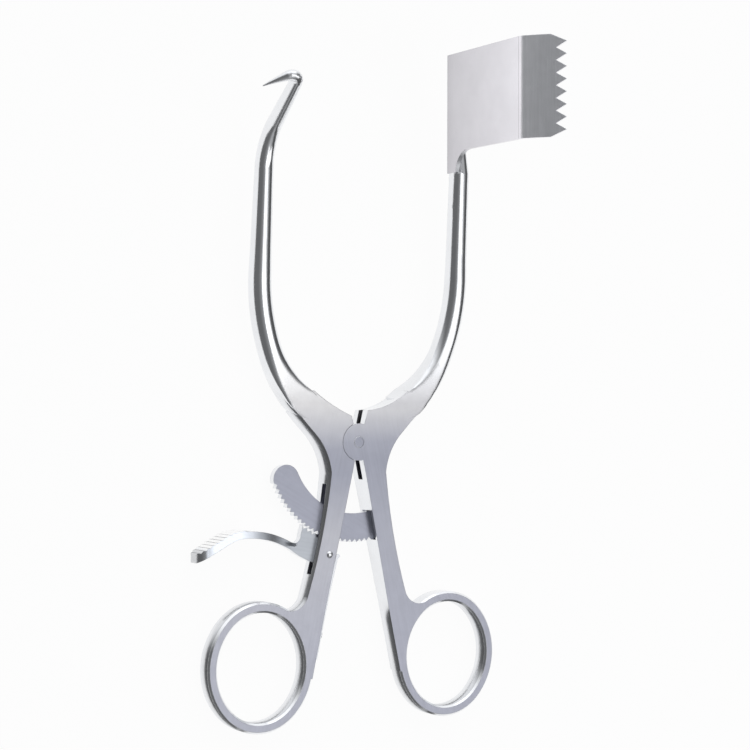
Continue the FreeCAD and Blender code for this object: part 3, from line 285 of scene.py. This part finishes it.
def arm_skin(name, side, last_turn, taper, material, body):
    """Smooth skin of an arm's bend, from the flat neck into the round rod. It stands just
    proud of the CAD arm and sinks into it at both ends. taper is what the rod's radius
    loses per millimetre above the bend."""
    rings = []
    turn = SKIN_START
    while turn > last_turn:
        rings.append(arm_frame(turn) + (turn, 0.0))
        turn -= SKIN_STEP
    point, heading, across, up = arm_frame(last_turn)
    for step in range(TAIL_RINGS):
        gone = TAIL_STEP * step
        rings.append((point + heading * gone, heading, across, up, last_turn, gone))
    last_ring = len(rings) - 1
    shape = bmesh.new()
    loops = []
    for number, (point, heading, across, up, turn, gone) in enumerate(rings):
        share = (ROUND_TURN - turn) / (ROUND_TURN - last_turn)
        half = ARM_HALF + (ROD_HALF - ARM_HALF) * max(0.0, share) - taper * gone
        proud = between(number, ((0, SUNK_LOW), (SETTLED_RING, SKIN), (last_ring + 1 - TAIL_RINGS, SKIN),
                                 (last_ring, SUNK_HIGH)))
        wide = between(turn, ((ROUND_TURN, half), (FLAT_TURN, NECK_HALF))) + proud
        deep = between(turn, ((ROUND_TURN, half), (FLAT_TURN, ARM_MIDDLE))) + proud
        power = between(turn, SECTION)
        loop = []
        for corner in range(SKIN_CORNERS):
            angle = 2 * math.pi * corner / SKIN_CORNERS
            cosine, sine = math.cos(angle), math.sin(angle)
            reach = (abs(cosine) ** power + abs(sine) ** power) ** (-1 / power)
            place = point + across * (cosine * reach * wide) + up * (sine * reach * deep)
            loop.append(shape.verts.new((side * place.x * MM, place.y * MM, place.z * MM)))
        loops.append(loop)
    for low, high in zip(loops, loops[1:]):
        for corner in range(SKIN_CORNERS):
            following = (corner + 1) % SKIN_CORNERS
            shape.faces.new((low[corner], low[following], high[following], high[corner]))
    shape.faces.new(loops[0])
    shape.faces.new(loops[-1])
    bmesh.ops.recalc_face_normals(shape, faces=shape.faces)
    mesh = bpy.data.meshes.new(name)
    shape.to_mesh(mesh)
    shape.free()
    mesh.polygons.foreach_set("use_smooth", [True] * len(mesh.polygons))
    mesh.set_sharp_from_angle(angle=math.radians(SKIN_CREASE))
    mesh.materials.append(material)
    piece = bpy.data.objects.new(name, mesh)
    bpy.context.scene.collection.objects.link(piece)
    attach(piece, body)


# What each piece wears. The stops hold places in metres and amounts.

SHANK_ANGLE = math.radians(12)
ARM_POLISH = (11 * MM, 26 * MM)
# Stops of the painted highlight on the arms' faces, by y
HOOK_PAINTED_SHEEN = ((-60 * MM, 0.1), (-26 * MM, 0.3), (-9 * MM, 0.0), (-2 * MM, 0.05), (10 * MM, 0.75),
               (20 * MM, 0.9))
BLADE_PAINTED_SHEEN = ((-60 * MM, 0.05), (-26 * MM, 0.1), (-6 * MM, 0.0), (0.0, 0.05), (9 * MM, 0.6),
                (20 * MM, 0.6))
# Stops of the side walls' rounding and painted shade, by y
HOOK_BOW_AND_SHADE = ((-80 * MM, 1.25), (8 * MM, 1.25), (14 * MM, 0.0))
BLADE_BOW_AND_SHADE = ((-80 * MM, 1.25), (-50 * MM, 1.25), (-44 * MM, 0.0))
# Painted light and shade along the blade plate's Z and along the lever's X
PLATE_PAINTED_LIGHT = ((7 * MM, 0.64), (11 * MM, 0.72), (25 * MM, 0.80), (42.2 * MM, 0.95), (42.5 * MM, 0.72),
              (42.8 * MM, 1.0), (43.9 * MM, 1.0))
LEVER_PAINTED_LIGHT = ((-50 * MM, 0.75), (-47.5 * MM, 0.85), (-45 * MM, 2.0), (-37 * MM, 2.0), (-31 * MM, 1.1),
              (-20 * MM, 1.0))
PAD_END = -34 * MM

hook_steel = steel("hook_arm_steel", grain_angle=-SHANK_ANGLE, painted_sheen=HOOK_PAINTED_SHEEN, polish=ARM_POLISH,
                   bow_and_shade=HOOK_BOW_AND_SHADE)
blade_steel = steel("blade_arm_steel", grain_angle=SHANK_ANGLE, painted_sheen=BLADE_PAINTED_SHEEN, polish=ARM_POLISH,
                    bow_and_shade=BLADE_BOW_AND_SHADE)
dress("hook_arm", hook_steel)
dress("blade_arm", blade_steel)
dress("toothed_blade", steel("blade_steel", LIP, 0.45, PLATE, 0.24, (0.3, 0.5), grain=0.5,
                             painted_light=("Z", PLATE_PAINTED_LIGHT)))
dress("pivot_pin", steel("pivot_pin_steel", grain_angle=math.radians(50)))
dress("ratchet_bar", steel("ratchet_steel", grain_angle=math.radians(60)))
dress("release_lever", steel("lever_steel", LEVER, 0.30, rough_polished=0.22, grain_angle=math.radians(80),
                             grain=0.3, painted_light=("X", LEVER_PAINTED_LIGHT), ridges=PAD_END))
dress("lever_pin", steel("lever_pin_steel", POLISHED, 0.12, grain=0.3, rounding=FINE_ROUNDING))
dress("leaf_spring", steel("spring_steel", SPRING, 0.25, rough_polished=0.2, grain_angle=-SHANK_ANGLE,
                           grain=0.5, rounding=FINE_ROUNDING))
dress("spring_screw", steel("screw_steel", SPRING, 0.2, grain_angle=math.radians(30), grain=0.3,
                            rounding=FINE_ROUNDING))
arm_skin("hook_arm_bend", -1, 0.0, 0.011, hook_steel, "hook_arm")
arm_skin("blade_arm_bend", 1, -0.65, 0.007, blade_steel, "blade_arm")

# Floor, light and camera

FLOOR_HALF, FLOOR_LEVEL = 2.0, -0.2 * MM
FLOOR_COLOUR, FLOOR_SEEN = (0.95, 0.95, 0.95, 1.0), 0.95
# Brightness of the studio round the part, by the angle from +Z towards +X, in degrees
STUDIO = ((-180, 0.14), (-40, 0.15), (-14, 0.28), (0, 0.42), (40, 0.42), (54, 0.10), (80, 0.09),
          (180, 0.14))
STUDIO_COLOUR = (0.97, 0.98, 1.0, 1.0)
# Name, place, width, height and watts of the lamps, which all face the pivot
SOFTBOXES = (("left_strip", (0.05, -0.2, 1.0), 0.32, 1.1, 0.9),
             ("right_strip", (0.485, -0.2, 0.875), 0.5, 1.1, 1.7))


def white_to_camera(nodes, shader, seen):
    """Mixes in white, as far as seen says, where the camera, a reflection or a refraction looks."""
    path = nodes.add("ShaderNodeLightPath")
    rays = nodes.maths("MAXIMUM", path.outputs["Is Camera Ray"], path.outputs["Is Glossy Ray"])
    rays = nodes.maths("MAXIMUM", rays, path.outputs["Is Transmission Ray"])
    bright = nodes.add("ShaderNodeEmission", {"Color": WHITE + (1.0,), "Strength": 1.0})
    mixed = nodes.add("ShaderNodeMixShader", {"Fac": nodes.maths("MULTIPLY", rays, seen)})
    nodes.feed(mixed.inputs[1], shader)
    nodes.feed(mixed.inputs[2], bright.outputs["Emission"])
    return mixed.outputs["Shader"]


def add_floor():
    mesh = bpy.data.meshes.new("floor")
    corners = [(x * FLOOR_HALF, y * FLOOR_HALF, FLOOR_LEVEL) for x, y in ((-1, -1), (1, -1), (1, 1), (-1, 1))]
    mesh.from_pydata(corners, [], [(0, 1, 2, 3)])
    floor = bpy.data.objects.new("floor", mesh)
    bpy.context.scene.collection.objects.link(floor)
    material = bpy.data.materials.new("floor_white")
    material.use_nodes = True
    nodes = Nodes(material.node_tree)
    matt = nodes.add("ShaderNodeBsdfDiffuse", {"Color": FLOOR_COLOUR})
    output = nodes.add("ShaderNodeOutputMaterial")
    nodes.feed(output.inputs["Surface"], white_to_camera(nodes, matt.outputs["BSDF"], FLOOR_SEEN))
    mesh.materials.append(material)


def add_world():
    """A dim studio that is brighter overhead and towards the tips."""
    world = bpy.data.worlds.new("studio")
    bpy.context.scene.world = world
    world.use_nodes = True
    nodes = Nodes(world.node_tree)
    facing = nodes.split(nodes.add("ShaderNodeTexCoord").outputs["Generated"])
    turn = nodes.maths("ARCTAN2", facing["X"], facing["Z"])
    around = nodes.ramp(turn, [(math.radians(angle), level) for angle, level in STUDIO])
    level = nodes.maths("ADD", around, nodes.spread(facing["Y"], 0.3, 0.75, 0.0, 1.0))
    tent = nodes.add("ShaderNodeBackground", {"Color": STUDIO_COLOUR, "Strength": level})
    white = nodes.add("ShaderNodeBackground", {"Color": WHITE + (1.0,), "Strength": 1.0})
    path = nodes.add("ShaderNodeLightPath")
    mixed = nodes.add("ShaderNodeMixShader", {"Fac": path.outputs["Is Camera Ray"]})
    nodes.feed(mixed.inputs[1], tent.outputs["Background"])
    nodes.feed(mixed.inputs[2], white.outputs["Background"])
    output = nodes.add("ShaderNodeOutputWorld")
    nodes.feed(output.inputs["Surface"], mixed.outputs["Shader"])


def add_softbox(name, place, width, height, power):
    lamp = bpy.data.lights.new(name, "AREA")
    lamp.shape = "RECTANGLE"
    lamp.size, lamp.size_y = width, height
    lamp.energy = power
    item = bpy.data.objects.new(name, lamp)
    bpy.context.scene.collection.objects.link(item)
    item.location = place
    item.rotation_euler = (-Vector(place)).to_track_quat("-Z", "Y").to_euler()


def add_camera():
    """The photograph's view: from in front, turned to the hook arm's side."""
    pivot, pivot_across, pivot_down = Vector((0, 0, ARM_MIDDLE * MM)), 352.85, 441.77
    turn, tilt, roll = math.radians(31.5), math.radians(-0.76), math.radians(0.13)
    distance, focal, sensor, pixels = 0.540, 1925.6, 36.0, 750.0
    shift_x, shift_y = pivot_across - pixels / 2, pivot_down - pixels / 2
    back = Vector((-math.sin(turn) * math.cos(tilt), math.sin(tilt), math.cos(turn) * math.cos(tilt)))
    right = Vector((math.cos(turn), 0, math.sin(turn)))
    up = back.cross(right)
    right, up = (right * math.cos(roll) + up * math.sin(roll)), (up * math.cos(roll) - right * math.sin(roll))
    place = pivot + back * distance - right * (shift_x * distance / focal) + up * (shift_y * distance / focal)
    axes = Matrix((right, up, back)).transposed().to_4x4()
    lens = bpy.data.cameras.new("camera")
    lens.sensor_width = sensor
    lens.lens = focal / pixels * sensor
    lens.clip_start, lens.clip_end = 0.01, 20.0
    item = bpy.data.objects.new("camera", lens)
    item.matrix_world = Matrix.Translation(place) @ axes
    bpy.context.scene.collection.objects.link(item)
    bpy.context.scene.camera = item


add_floor()
add_world()
for softbox in SOFTBOXES:
    add_softbox(*softbox)
add_camera()
bpy.context.scene.view_settings.view_transform = "Standard"
